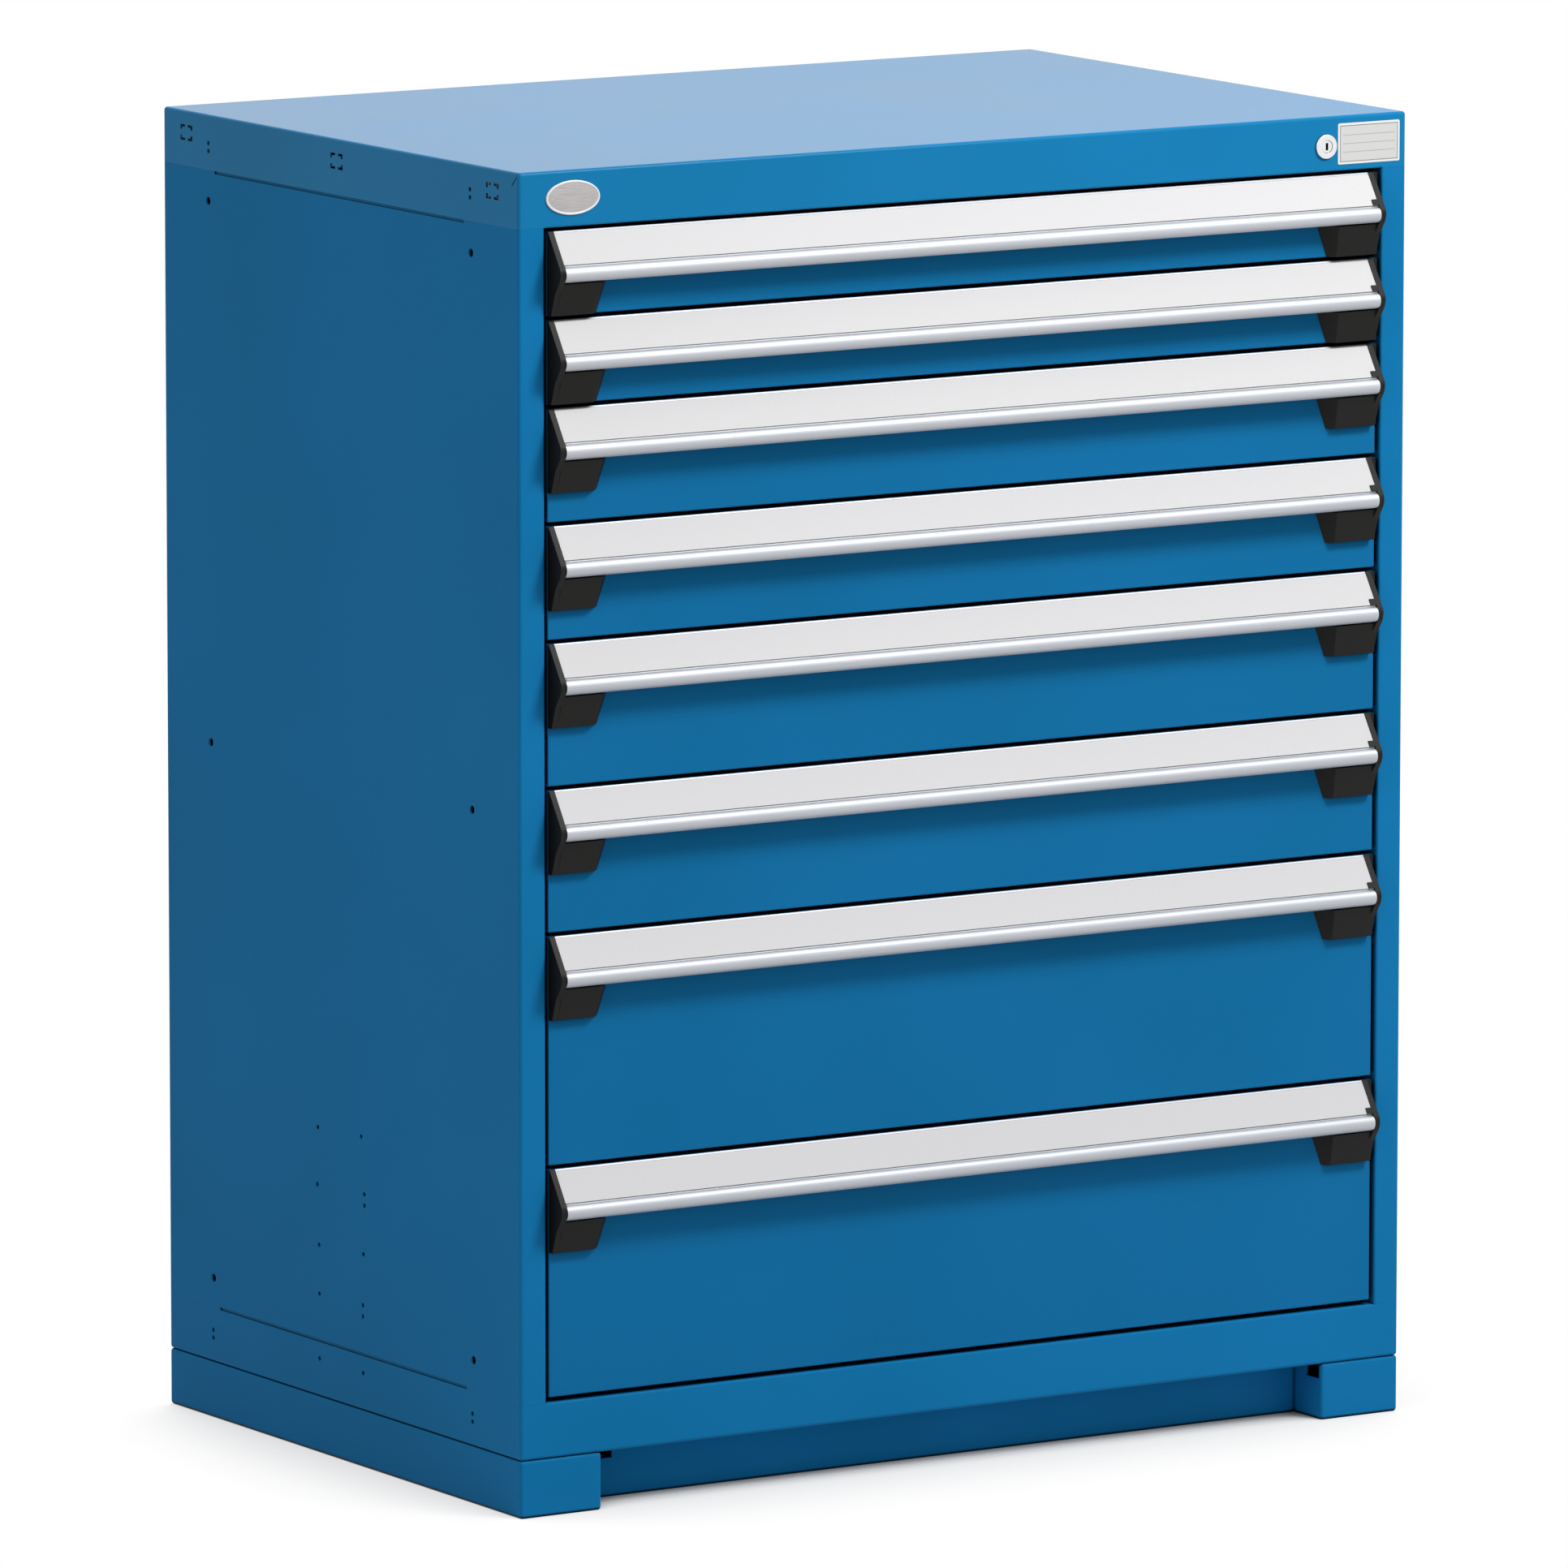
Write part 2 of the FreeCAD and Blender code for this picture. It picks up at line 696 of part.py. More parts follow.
def carriages(index):
    # left and right roller carriages of one drawer, half way between housing and drawer
    name = f"carriage{index + 1}"
    level = railHeightOf(index)
    members = []
    for side, sideName in ((-1, "Left"), (1, "Right")):
        low, high = (barInner, "carriageOuter") if side > 0 else ("-carriageOuter", f"-{barInner}")
        members.append(block(
            name + sideName,
            (low, f"{front} + carriageStart", f"{level} - carriageHeight / 2"),
            (high, f"{front} + carriageStart + carriageLength", f"{level} + carriageHeight / 2")))
        innerX = f"{barInner} - innerRollerWidth" if side > 0 else f"-{barInner}"
        outerX = "carriageOuter" if side > 0 else "-carriageOuter - outerRollerWidth"
        rollers = (("InnerFront", innerX, "innerRollerWidth", "innerRollerFront"),
                   ("InnerRear", innerX, "innerRollerWidth", "innerRollerRear"),
                   ("OuterFront", outerX, "outerRollerWidth", "outerRollerFront"),
                   ("OuterRear", outerX, "outerRollerWidth", "outerRollerRear"))
        for place, x, width, along in rollers:
            members.append(cylinderAlongX(name + sideName + place, "rollerRadius", width,
                                          x, f"{front} + {along}", level))
    return group(f"drawer_{index + 1}_carriages", members)


def drawerFront(index):
    # a shallow pan of sheet, open to the back
    body = newBody(f"drawer_{index + 1}_front", ("0", drawerFace, drawerTop(index)))
    face = sketchOn(body, "XZ_Plane")
    rectangle(face, "-frontWidth / 2", "frontWidth / 2", f"-{frontHeight(index)}", "0")
    pad(body, face, "frontDepth", backwards=True)
    fillet(body, "frontBend", lambda edge: not near(edge.BoundBox.YMin, "frontDepth"))
    inside = sketchOn(body, "XZ_Plane", "-frontDepth")
    rectangle(inside, "frontSheet - frontWidth / 2", "frontWidth / 2 - frontSheet",
              f"frontSheet - {frontHeight(index)}", "-frontSheet")
    pocket(body, inside, "frontDepth - frontSheet", backwards=True)
    return body


def trayHem(body):
    # the sheet turned back on itself along the top of the sides and the back
    hem = sketchOn(body, "XY_Plane", "-trayHead - hemHeight")
    edge, rear = "(trayWidth / 2)", "trayLength"
    outer, outerRear = f"({edge} + traySheet)", f"{rear} + traySheet"
    outline(hem, [
        (edge, "trayBend"),
        (edge, rear, "trayBend"),
        (f"-{edge}", rear, "trayBend"),
        (f"-{edge}", "trayBend"),
        (f"-{outer}", "trayBend"),
        (f"-{outer}", outerRear, "trayBend + traySheet"),
        (outer, outerRear, "trayBend + traySheet"),
        (outer, "trayBend"),
    ])
    pad(body, hem, "hemHeight")


def drawerTray(index):
    # folded tray, with a rail down each side and the catch for the lock
    name = f"tray{index + 1}"
    place = drawerTop(index)
    start = f"({drawerFace} + frontDepth)"
    bottom = f"(trayFoot - {frontHeight(index)})"
    body = newBody(name + "Pan", ("0", start, place))
    plan = sketchOn(body, "XY_Plane", bottom)
    rectangle(plan, "-trayWidth / 2", "trayWidth / 2", "0", "trayLength")
    pad(body, plan, f"-trayHead - {bottom}")
    fillet(body, "trayBend", lambda edge: not flatAt(edge, "-trayHead"))
    hollow(body, "traySheet", lambda face: flatAt(face, "-trayHead"))
    trayHem(body)
    members = [body]
    for side, sideName in ((-1, "Left"), (1, "Right")):
        members.append(channel(name + "Rail" + sideName, side, "trayWidth / 2",
                               "trayWidth / 2 + drawerRailDepth", start, f"{start} + trayLength",
                               railHeightOf(index), False))
    members.append(block(
        name + "Catch",
        ("trayWidth / 2", f"{front} + catchStart", f"{place} - catchTop - fingerHeight"),
        ("carriageOuter - catchPlay", f"{front} + catchStart + catchLength", f"{place} - catchTop")))
    return group(f"drawer_{index + 1}_tray", members)


def onFace(along, depth):
    # a point of the sloped handle face: distance down the slope, and depth under it
    out = f"(handleTop + ({along}) * sin(faceAngle * 1 deg) - ({depth}) * cos(faceAngle * 1 deg))"
    down = f"(({along}) * cos(faceAngle * 1 deg) + ({depth}) * sin(faceAngle * 1 deg))"
    return f"-{out}", f"-{down}"


def onLip(radius, angle):
    # a point of the round lip under the handle face, angle up from straight ahead
    return (f"-(handleReach - lipRadius + ({radius}) * cos(({angle}) * 1 deg))",
            f"-lipLevel + ({radius}) * sin(({angle}) * 1 deg)")


def handle(index):
    # extruded grip: a sloped face with a label pocket, and a round lip to pull on
    body = newBody(f"drawer_{index + 1}_handle", ("handleShift", drawerFace, drawerTop(index)))
    section = sketchOn(body, "YZ_Plane")
    inner = "lipRadius - lipWall"
    wallTop = f"-lipLevel + ({inner}) * sin(lipStart * 1 deg) + (handleReach - lipRadius"
    wallTop += f" + ({inner}) * cos(lipStart * 1 deg) - handleLeg) / tan(faceAngle * 1 deg)"
    outline(section, [
        ("0", "0"),
        onFace("0", "0"),
        onFace("labelStart", "0"),
        onFace("labelStart", "labelPocket"),
        onFace("labelPocketEnd", "labelPocket"),
        (*onLip("lipRadius", "lipStart"), "lipRadius", 1),
        (*onLip("lipRadius", "0"), "lipRadius", 1),
        onLip("lipRadius", "-lipEnd"),
        (*onLip(inner, "-lipEnd"), inner, -1),
        (*onLip(inner, "0"), inner, -1),
        onLip(inner, "lipStart"),
        ("-handleLeg", wallTop),
        ("-handleLeg", "-handleLegDrop"),
        ("0", "-handleLegDrop"),
    ])
    pad(body, section, f"2 * {handleHalf}", centred=True)
    return body


def labelStrip(index):
    # flat strip that slides into the pocket of the handle face
    body = newBody(f"drawer_{index + 1}_label_strip", ("handleShift", drawerFace, drawerTop(index)))
    section = sketchOn(body, "YZ_Plane")
    deep, shallow = "labelPocket", "labelPocket - labelThickness"
    outline(section, [
        onFace("labelStart + labelPlay", shallow),
        onFace("labelStart + labelPlay", deep),
        onFace("labelEnd", deep),
        onFace("labelEnd", shallow),
    ])
    pad(body, section, f"2 * {handleHalf}", centred=True)
    return body


def endCaps(index):
    # moulded caps that close the ends of the handle and run down the front
    name = f"cap{index + 1}"
    body = newBody(name + "Right", (f"handleShift + {handleHalf}", drawerFace, drawerTop(index)))
    section = sketchOn(body, "YZ_Plane")
    outline(section, [
        ("0", "0"),
        ("-capTop", "0"),
        ("-capNose", "-capNoseLevel", "capNoseRound"),
        ("-capChin", "-capChinLevel", "capChinRound"),
        ("-capWaist", "-capWaistLevel", "capWaistRound"),
        ("-capFoot", "-capDrop", "capFootRound"),
        ("0", "-capDrop"),
    ])
    pad(body, section, "capPlate")
    sections = []
    for level, reach, width, slope in (("blockLevel", "blockReach", "blockWidth", "blockSlope"),
                                       ("capDrop", "capFoot", "blockFootWidth", "blockFootSlope")):
        plan = sketchOn(body, "XY_Plane", f"-{level}")
        outline(plan, [("0", "0"), ("0", f"-{reach}"), (f"-{width} + {slope}", f"-{reach}"),
                       (f"-{width}", "0")])
        sections.append(plan)
    loft = body.newObject("PartDesign::AdditiveLoft", name + "Block")
    loft.Profile = sections[0]
    loft.Sections = [sections[1]]
    loft.Ruled = True
    check(loft)
    left = mirrored(name + "Left", body, "handleShift")
    outside, place = f"handleShift + {handleHalf} + capPlate", drawerTop(index)
    flange = block(name + "Flange", (outside, f"{drawerFace} - capFlange", f"{place} - capDrop"),
                   ("frontWidth / 2", drawerFace, place))
    right = doc.addObject("Part::MultiFuse", name + "RightWhole")
    right.Shapes = [body, labelLug(name, index), flange]
    return group(f"drawer_{index + 1}_end_caps", [left, right])


def labelLug(name, index):
    # lug of the right cap that holds the lower corner of the label strip
    body = newBody(name + "Lug", (f"handleShift + {handleHalf}", drawerFace, drawerTop(index)))
    section = sketchOn(body, "YZ_Plane")
    outline(section, [
        onFace("labelEnd - lugSize", "0"),
        onFace("labelEnd", "0"),
        onFace("labelEnd", "-labelThickness"),
        onFace("labelEnd - lugSize", "-labelThickness"),
    ])
    pad(body, section, "lugLength + lugRoot", backwards=True)
    return body


def lockCylinder():
    # barrel through the header, with a rounded bezel
    body = newBody("lock_cylinder", (lockX, front, lockZ))
    body.Placement.Rotation = FreeCAD.Rotation(FreeCAD.Vector(1, 0, 0), 90)
    profile = sketchOn(body, "XZ_Plane")
    outline(profile, [
        ("lockBore", "-barrelLength"),
        ("barrelRadius", "-barrelLength"),
        ("barrelRadius", "0"),
        ("bezelRadius", "0"),
        ("bezelRadius", "bezelHeight", "bezelRound"),
        ("lockBore", "bezelHeight"),
    ])
    return turned(body, profile)


def turned(body, profile):
    # a full turn of the profile round the body's own Z axis
    feature = body.newObject("PartDesign::Revolution", body.Name + "Turn")
    feature.Profile = profile
    feature.ReferenceAxis = (profile, ["V_Axis"])
    feature.Angle = 360
    check(feature)
    return body


def lockPlug():
    # turning core with the key slot, and a crank behind it that moves the lock bar
    body = newBody("lock_plug", (lockX, front, lockZ))
    body.Placement.Rotation = FreeCAD.Rotation(FreeCAD.Vector(1, 0, 0), 90)
    crankTop = "(-barrelLength - crankGap)"
    profile = sketchOn(body, "XZ_Plane")
    outline(profile, [
        ("0", f"{crankTop} - crankThickness"),
        ("crankRadius", f"{crankTop} - crankThickness"),
        ("crankRadius", crankTop),
        ("plugRadius", crankTop),
        ("plugRadius", "plugHeight"),
        ("0", "plugHeight"),
    ])
    turned(body, profile)
    pin = sketchOn(body, "XY_Plane", f"{crankTop} - crankThickness")
    circle(pin, "crankThrow", "crankThrow", "crankPin")
    pad(body, pin, "crankPinLength", backwards=True)
    keySlot = sketchOn(body, "XY_Plane", "plugHeight")
    rectangle(keySlot, "-keySlotWidth / 2", "keySlotWidth / 2",
              "-keySlotLength / 2", "keySlotLength / 2")
    pocket(body, keySlot, "keySlotDepth")
    return body


def lockBar():
    # strip behind the right stile, with a fork round the crank pin and a finger for each drawer
    pinX, pinZ = f"({lockX} + crankThrow)", f"({lockZ} + crankThrow)"
    outer = "lockBarInner + lockBarSheet"
    last = drawerTop(len(drawerUnits) - 1)
    strip = block("lockStrip",
                  ("lockBarInner", f"{front} + lockBarStart", f"{last} - fingerTop - fingerHeight"),
                  (outer, f"{front} + lockBarEnd", f"{pinZ} - armHalfHeight"))
    arm = newBody("lockArm")
    plate = sketchOn(arm, "XZ_Plane", f"-({front} + armStart)")
    outline(plate, [
        (f"{pinX} - forkStart", f"{pinZ} - armHalfHeight"),
        (outer, f"{pinZ} - armHalfHeight"),
        (outer, f"{pinZ} + armHalfHeight"),
        (f"{pinX} - forkStart", f"{pinZ} + armHalfHeight"),
        (f"{pinX} - forkStart", f"{pinZ} + forkGap"),
        (f"{pinX} + forkEnd", f"{pinZ} + forkGap"),
        (f"{pinX} + forkEnd", f"{pinZ} - forkGap"),
        (f"{pinX} - forkStart", f"{pinZ} - forkGap"),
    ])
    pad(arm, plate, "lockBarSheet", backwards=True)
    fingers = []
    for index in range(len(drawerUnits)):
        level = f"{drawerTop(index)} - fingerTop"
        fingers.append(block(f"lockFinger{index + 1}",
                             ("lockBarInner - fingerReach", f"{front} + fingerStart",
                              f"{level} - fingerHeight"),
                             ("lockBarInner", f"{front} + lockBarEnd", level)))
    return group("lock_bar", [strip, arm] + fingers)


def badge():
    # blank oval plate on the header
    body = newBody("badge", (f"badgeInset - {half}", front, f"{top} - badgeDrop"))
    face = sketchOn(body, "XZ_Plane")
    oval = Part.Ellipse(FreeCAD.Vector(), number("badgeWidth / 2"), number("badgeHeight / 2"))
    face.addGeometry(oval, False)
    face.exposeInternalGeometry(0)
    face.addConstraint(Sketcher.Constraint("Coincident", 0, 3, -1, 1))
    face.addConstraint(Sketcher.Constraint("Horizontal", 1))
    for axis, length in ((1, "badgeWidth"), (2, "badgeHeight")):
        index = face.addConstraint(Sketcher.Constraint("Distance", axis, number(length)))
        face.setExpression(f"Constraints[{index}]", bound(length))
    pad(body, face, "badgeThickness")
    return body


nodes = [topPan(), bottomPan(), sidePanel("left_side_panel", -1), sidePanel("right_side_panel", 1),
         backPanel(), baseFrame(), uprights(), cabinetRails(),
         lockCylinder(), lockPlug(), lockBar(), badge()]
for index in range(len(drawerUnits)):
    nodes += [drawerFront(index), drawerTray(index), handle(index), labelStrip(index),
              endCaps(index), carriages(index)]
doc.recompute()

for item in doc.Objects:
    if "Invalid" in item.State or "Error" in item.State:
        raise RuntimeError(f"{item.Name} is {item.State}")
os.makedirs("parts", exist_ok=True)
for node in nodes:
    shape = node.Shape
    if shape.isNull() or not shape.isValid() or not shape.Solids:
        raise RuntimeError(f"{node.Label} has no valid solid")
    shape.exportStep(f"parts/{node.Label}.step")
    box = shape.BoundBox
    print(f"{node.Label}: {len(shape.Solids)} solids, {shape.Volume / 1000:.1f} cm3, "
          f"x {box.XMin:.1f} {box.XMax:.1f}, y {box.YMin:.1f} {box.YMax:.1f}, "
          f"z {box.ZMin:.1f} {box.ZMax:.1f}")
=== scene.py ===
import json
import math
import bpy
import numpy as np
from mathutils import Matrix, Vector


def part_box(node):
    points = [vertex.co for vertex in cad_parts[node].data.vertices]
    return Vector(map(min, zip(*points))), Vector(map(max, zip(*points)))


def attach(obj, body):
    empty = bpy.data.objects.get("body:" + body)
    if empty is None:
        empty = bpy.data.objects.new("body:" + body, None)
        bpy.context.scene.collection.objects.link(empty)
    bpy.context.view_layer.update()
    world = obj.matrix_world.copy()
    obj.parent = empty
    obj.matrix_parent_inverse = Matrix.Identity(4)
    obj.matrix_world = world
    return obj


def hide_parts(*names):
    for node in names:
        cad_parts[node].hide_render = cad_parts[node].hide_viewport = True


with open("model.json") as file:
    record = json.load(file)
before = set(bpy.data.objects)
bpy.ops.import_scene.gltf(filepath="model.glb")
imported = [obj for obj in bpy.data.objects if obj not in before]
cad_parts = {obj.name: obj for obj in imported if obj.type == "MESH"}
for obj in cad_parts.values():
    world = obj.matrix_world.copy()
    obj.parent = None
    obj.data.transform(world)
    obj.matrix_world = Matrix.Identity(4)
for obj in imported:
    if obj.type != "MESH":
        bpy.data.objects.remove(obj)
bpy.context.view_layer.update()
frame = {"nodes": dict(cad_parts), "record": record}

# A steel drawer cabinet in blue powder coat. Metres, +Z up, fronts towards -Y.

mm = 0.001
drawerCount = sum(name.endswith("_front") for name in frame["nodes"])
print("frame loaded:", len(frame["nodes"]), "parts,", drawerCount, "drawers")


def fromHex(code, alpha=1.0):
    # an sRGB hex colour as linear light, which is what the shaders take
    parts = [int(code[i:i + 2], 16) / 255 for i in (1, 3, 5)]
    bright = [c / 12.92 if c <= 0.04045 else ((c + 0.055) / 1.055) ** 2.4 for c in parts]
    return (*bright, alpha)


# materials


def addNode(tree, kind, inputs=None, **settings):
    # one node: settings are its properties, and each input is a value or the socket that feeds it
    node = tree.nodes.new(kind)
    for name, value in settings.items():
        setattr(node, name, value)
    for name, value in (inputs or {}).items():
        if isinstance(value, bpy.types.NodeSocket):
            tree.links.new(value, node.inputs[name])
        else:
            node.inputs[name].default_value = value
    return node


def newMaterial(name, baseHex):
    # an empty node tree; the base colour is also what the viewport shows
    material = bpy.data.materials.new(name)
    material.use_nodes = True
    material.diffuse_color = fromHex(baseHex)
    material.node_tree.nodes.clear()
    return material, material.node_tree


def finishMaterial(tree, shader):
    addNode(tree, "ShaderNodeOutputMaterial", {"Surface": shader.outputs[0]})


def objectPlace(tree, stretch=(1, 1, 1)):
    # where a point lies on the object in metres, stretched along each axis
    place = addNode(tree, "ShaderNodeTexCoord").outputs["Object"]
    return addNode(tree, "ShaderNodeMapping", {"Vector": place, "Scale": stretch}).outputs[0]


def shades(tree, factor, dark, light, low=0.3, high=0.7):
    # a ramp between two colours, spread over part of the pattern's range
    ramp = addNode(tree, "ShaderNodeValToRGB", {"Fac": factor})
    ramp.color_ramp.elements[0].position = low
    ramp.color_ramp.elements[0].color = fromHex(dark)
    ramp.color_ramp.elements[1].position = high
    ramp.color_ramp.elements[1].color = fromHex(light)
    return ramp.outputs[0]


def spread(tree, factor, low, high):
    # a pattern's 0 to 1 moved to a range of values
    return addNode(tree, "ShaderNodeMapRange", {"Value": factor, "To Min": low, "To Max": high}).outputs[0]


def softEdges(tree, radius):
    # shades sharp sheet edges as if they had this radius, in metres
    return addNode(tree, "ShaderNodeBevel", {"Radius": radius}, samples=4).outputs[0]


def paintedGapShade(tree, colour, reach, low=0.35, high=0.85, least=0.1):
    # Painted shade: the colour, darkened by ambient occlusion in seams and gaps narrower than the
    # reach, in metres: down to its least share where less than low of the surroundings is open,
    # and not at all where more than high is.
    near = addNode(tree, "ShaderNodeAmbientOcclusion", {"Distance": reach}, samples=8)
    light = addNode(tree, "ShaderNodeMapRange", {
        "Value": near.outputs["AO"], "From Min": low, "From Max": high, "To Min": least, "To Max": 1.0},
        interpolation_type="SMOOTHSTEP")
    shaded = addNode(tree, "ShaderNodeVectorMath", {0: colour, 1: light.outputs[0]}, operation="MULTIPLY")
    return shaded.outputs[0]


def maths(tree, operation, *values):
    # one sum on plain numbers or sockets
    return addNode(tree, "ShaderNodeMath", dict(enumerate(values)), operation=operation).outputs[0]


# The top's tones and specular paint light onto the top, the fronts' darker tones paint shade, and the gap
# is the reach of the shade painted into seams.
paint = {"housing": ("#1477AE", "#187CB7"), "top": ("#157AAE", "#187FB7"),
         "fronts": ("#1470A4", "#1774AC"), "cloud": 260 * mm, "peel": 2.6 * mm,
         "peelDepth": 0.02 * mm, "bump": 0.35, "roughness": (0.17, 0.22), "specular": 0.018,
         "topLitSpecular": 0.053, "edge": 0.7 * mm, "gap": 6 * mm}


def powderCoatBlue(name, tones, specular):
    # Polyester powder sprayed on sheet steel and baked: an even satin skin with a faint orange
    # peel, which breaks up reflections, and very slight clouds of tone. The real peel is about
    # 1 mm across; it is drawn 2.6 mm wide so that it shows. Shade is painted into seams and gaps.
    # The top has its own copy, a touch lighter and greener and mirroring more: painted light for
    # the bright grazing light on the top. The fronts have a copy a shade darker: painted shade.
    material, tree = newMaterial(name, tones[1])
    place = objectPlace(tree)
    clouds = addNode(tree, "ShaderNodeTexNoise", {
        "Vector": place, "Scale": 1 / paint["cloud"], "Detail": 2.0})
    peel = addNode(tree, "ShaderNodeTexNoise", {
        "Vector": place, "Scale": 1 / paint["peel"], "Detail": 1.0})
    bump = addNode(tree, "ShaderNodeBump", {
        "Height": peel.outputs["Fac"], "Strength": paint["bump"], "Distance": paint["peelDepth"],
        "Normal": softEdges(tree, paint["edge"])})
    colour = shades(tree, clouds.outputs["Fac"], *tones)
    shader = addNode(tree, "ShaderNodeBsdfPrincipled", {
        # painted shade: the colour darkened by ambient occlusion in seams and gaps
        "Base Color": paintedGapShade(tree, colour, paint["gap"]),
        "Roughness": spread(tree, clouds.outputs["Fac"], *paint["roughness"]),
        "Specular IOR Level": specular,
        "Normal": bump.outputs[0]})
    finishMaterial(tree, shader)
    return material


zinc = {"dark": "#8E9498", "light": "#B9BEC2", "spangle": 9 * mm, "roughness": (0.32, 0.5),
        "metal": 0.9, "edge": 0.5 * mm}


def galvanisedSteel():
    # Sheet steel dipped in zinc: crystals of grey a few millimetres across, each with its own
    # shade and gloss.
    material, tree = newMaterial("galvanisedSteel", zinc["light"])
    place = objectPlace(tree)
    crystals = addNode(tree, "ShaderNodeTexVoronoi", {"Vector": place, "Scale": 1 / zinc["spangle"]})
    tone = addNode(tree, "ShaderNodeSeparateColor", {"Color": crystals.outputs["Color"]}).outputs[0]
    shader = addNode(tree, "ShaderNodeBsdfPrincipled", {
        "Base Color": shades(tree, tone, zinc["dark"], zinc["light"], 0.0, 1.0),
        "Roughness": spread(tree, tone, *zinc["roughness"]),
        "Metallic": zinc["metal"],
        "Normal": softEdges(tree, zinc["edge"])})
    finishMaterial(tree, shader)
    return material


trayPaint = {"dark": "#B8BDC0", "light": "#BEC3C6", "cloud": 180 * mm, "peel": 2.6 * mm,
             "peelDepth": 0.02 * mm, "bump": 0.3, "roughness": (0.38, 0.5), "specular": 0.3,
             "edge": 0.5 * mm}


def powderCoatGrey():
    # The trays' light grey powder coat, with the same peel as the blue but duller.
    material, tree = newMaterial("powderCoatGrey", trayPaint["light"])
    place = objectPlace(tree)
    clouds = addNode(tree, "ShaderNodeTexNoise", {
        "Vector": place, "Scale": 1 / trayPaint["cloud"], "Detail": 3.0})
    peel = addNode(tree, "ShaderNodeTexNoise", {
        "Vector": place, "Scale": 1 / trayPaint["peel"], "Detail": 1.0})
    bump = addNode(tree, "ShaderNodeBump", {
        "Height": peel.outputs["Fac"], "Strength": trayPaint["bump"],
        "Distance": trayPaint["peelDepth"], "Normal": softEdges(tree, trayPaint["edge"])})
    shader = addNode(tree, "ShaderNodeBsdfPrincipled", {
        "Base Color": shades(tree, clouds.outputs["Fac"], trayPaint["dark"], trayPaint["light"]),
        "Roughness": spread(tree, clouds.outputs["Fac"], *trayPaint["roughness"]),
        "Specular IOR Level": trayPaint["specular"],
        "Normal": bump.outputs[0]})
    finishMaterial(tree, shader)
    return material


extrusion = {"dark": "#BDC0C6", "light": "#C6C9CF", "lines": 0.9 * mm, "length": 240 * mm,
             "lineDepth": 0.01 * mm, "bump": 0.25, "roughness": (0.48, 0.58), "metal": 0.5,
             "edge": 0.3 * mm, "groove": 7.0 * mm, "grooveShade": (0.6, 1.0, 0.12)}


def anodisedAluminium():
    # Extruded and satin anodised: pale, slightly blue metal with hair-fine die lines that run
    # the whole length of the grip and stretch its reflections. Shade is painted into its groove
    # and where it meets other parts.
    material, tree = newMaterial("anodisedAluminium", extrusion["light"])
    place = objectPlace(tree, (1 / extrusion["length"], 1 / extrusion["lines"], 1 / extrusion["lines"]))
    lines = addNode(tree, "ShaderNodeTexNoise", {"Vector": place, "Scale": 1.0, "Detail": 3.0})
    bump = addNode(tree, "ShaderNodeBump", {
        "Height": lines.outputs["Fac"], "Strength": extrusion["bump"],
        "Distance": extrusion["lineDepth"], "Normal": softEdges(tree, extrusion["edge"])})
    colour = shades(tree, lines.outputs["Fac"], extrusion["dark"], extrusion["light"])
    shader = addNode(tree, "ShaderNodeBsdfPrincipled", {
        # painted shade: the colour darkened by ambient occlusion in the groove and against other parts
        "Base Color": paintedGapShade(tree, colour, extrusion["groove"], *extrusion["grooveShade"]),
        "Roughness": spread(tree, lines.outputs["Fac"], *extrusion["roughness"]),
        "Metallic": extrusion["metal"],
        "Normal": bump.outputs[0]})
    finishMaterial(tree, shader)
    return material


strip = {"dark": "#D0CFD0", "light": "#D4D3D4", "grain": 1.4 * mm, "roughness": (0.42, 0.55),
         "specular": 0.3}


def labelCard():
    # Card behind clear film: flat warm white, with a fine fibre mottle and a dull sheen.
    material, tree = newMaterial("labelCard", strip["light"])
    place = objectPlace(tree)
    fibres = addNode(tree, "ShaderNodeTexNoise", {
        "Vector": place, "Scale": 1 / strip["grain"], "Detail": 4.0, "Roughness": 0.6})
    shader = addNode(tree, "ShaderNodeBsdfPrincipled", {
        "Base Color": shades(tree, fibres.outputs["Fac"], strip["dark"], strip["light"]),
        "Roughness": spread(tree, fibres.outputs["Fac"], *strip["roughness"]),
        "Specular IOR Level": strip["specular"]})
    finishMaterial(tree, shader)
    return material


cap = {"dark": "#0E0D0C", "light": "#171614", "grain": 0.8 * mm, "grainDepth": 0.04 * mm,
       "bump": 0.4, "roughness": (0.45, 0.6), "specular": 0.2, "edge": 0.6 * mm}


def mouldedBlack():
    # Injection-moulded black ABS from a spark-eroded mould: fine even grain, soft broad gloss.
    material, tree = newMaterial("mouldedBlack", cap["light"])
    place = objectPlace(tree)
    grain = addNode(tree, "ShaderNodeTexNoise", {
        "Vector": place, "Scale": 1 / cap["grain"], "Detail": 2.0})
    bump = addNode(tree, "ShaderNodeBump", {
        "Height": grain.outputs["Fac"], "Strength": cap["bump"], "Distance": cap["grainDepth"],
        "Normal": softEdges(tree, cap["edge"])})
    shader = addNode(tree, "ShaderNodeBsdfPrincipled", {
        "Base Color": shades(tree, grain.outputs["Fac"], cap["dark"], cap["light"]),
        "Roughness": spread(tree, grain.outputs["Fac"], *cap["roughness"]),
        "Specular IOR Level": cap["specular"],
        "Normal": bump.outputs[0]})
    finishMaterial(tree, shader)
    return material


plating = {"dark": "#E4E5E7", "light": "#F4F4F5", "lines": 0.35 * mm, "roughness": (0.16, 0.28),
           "metal": 0.9, "edge": 0.3 * mm, "gap": 5 * mm, "gapShade": (0.3, 0.6)}


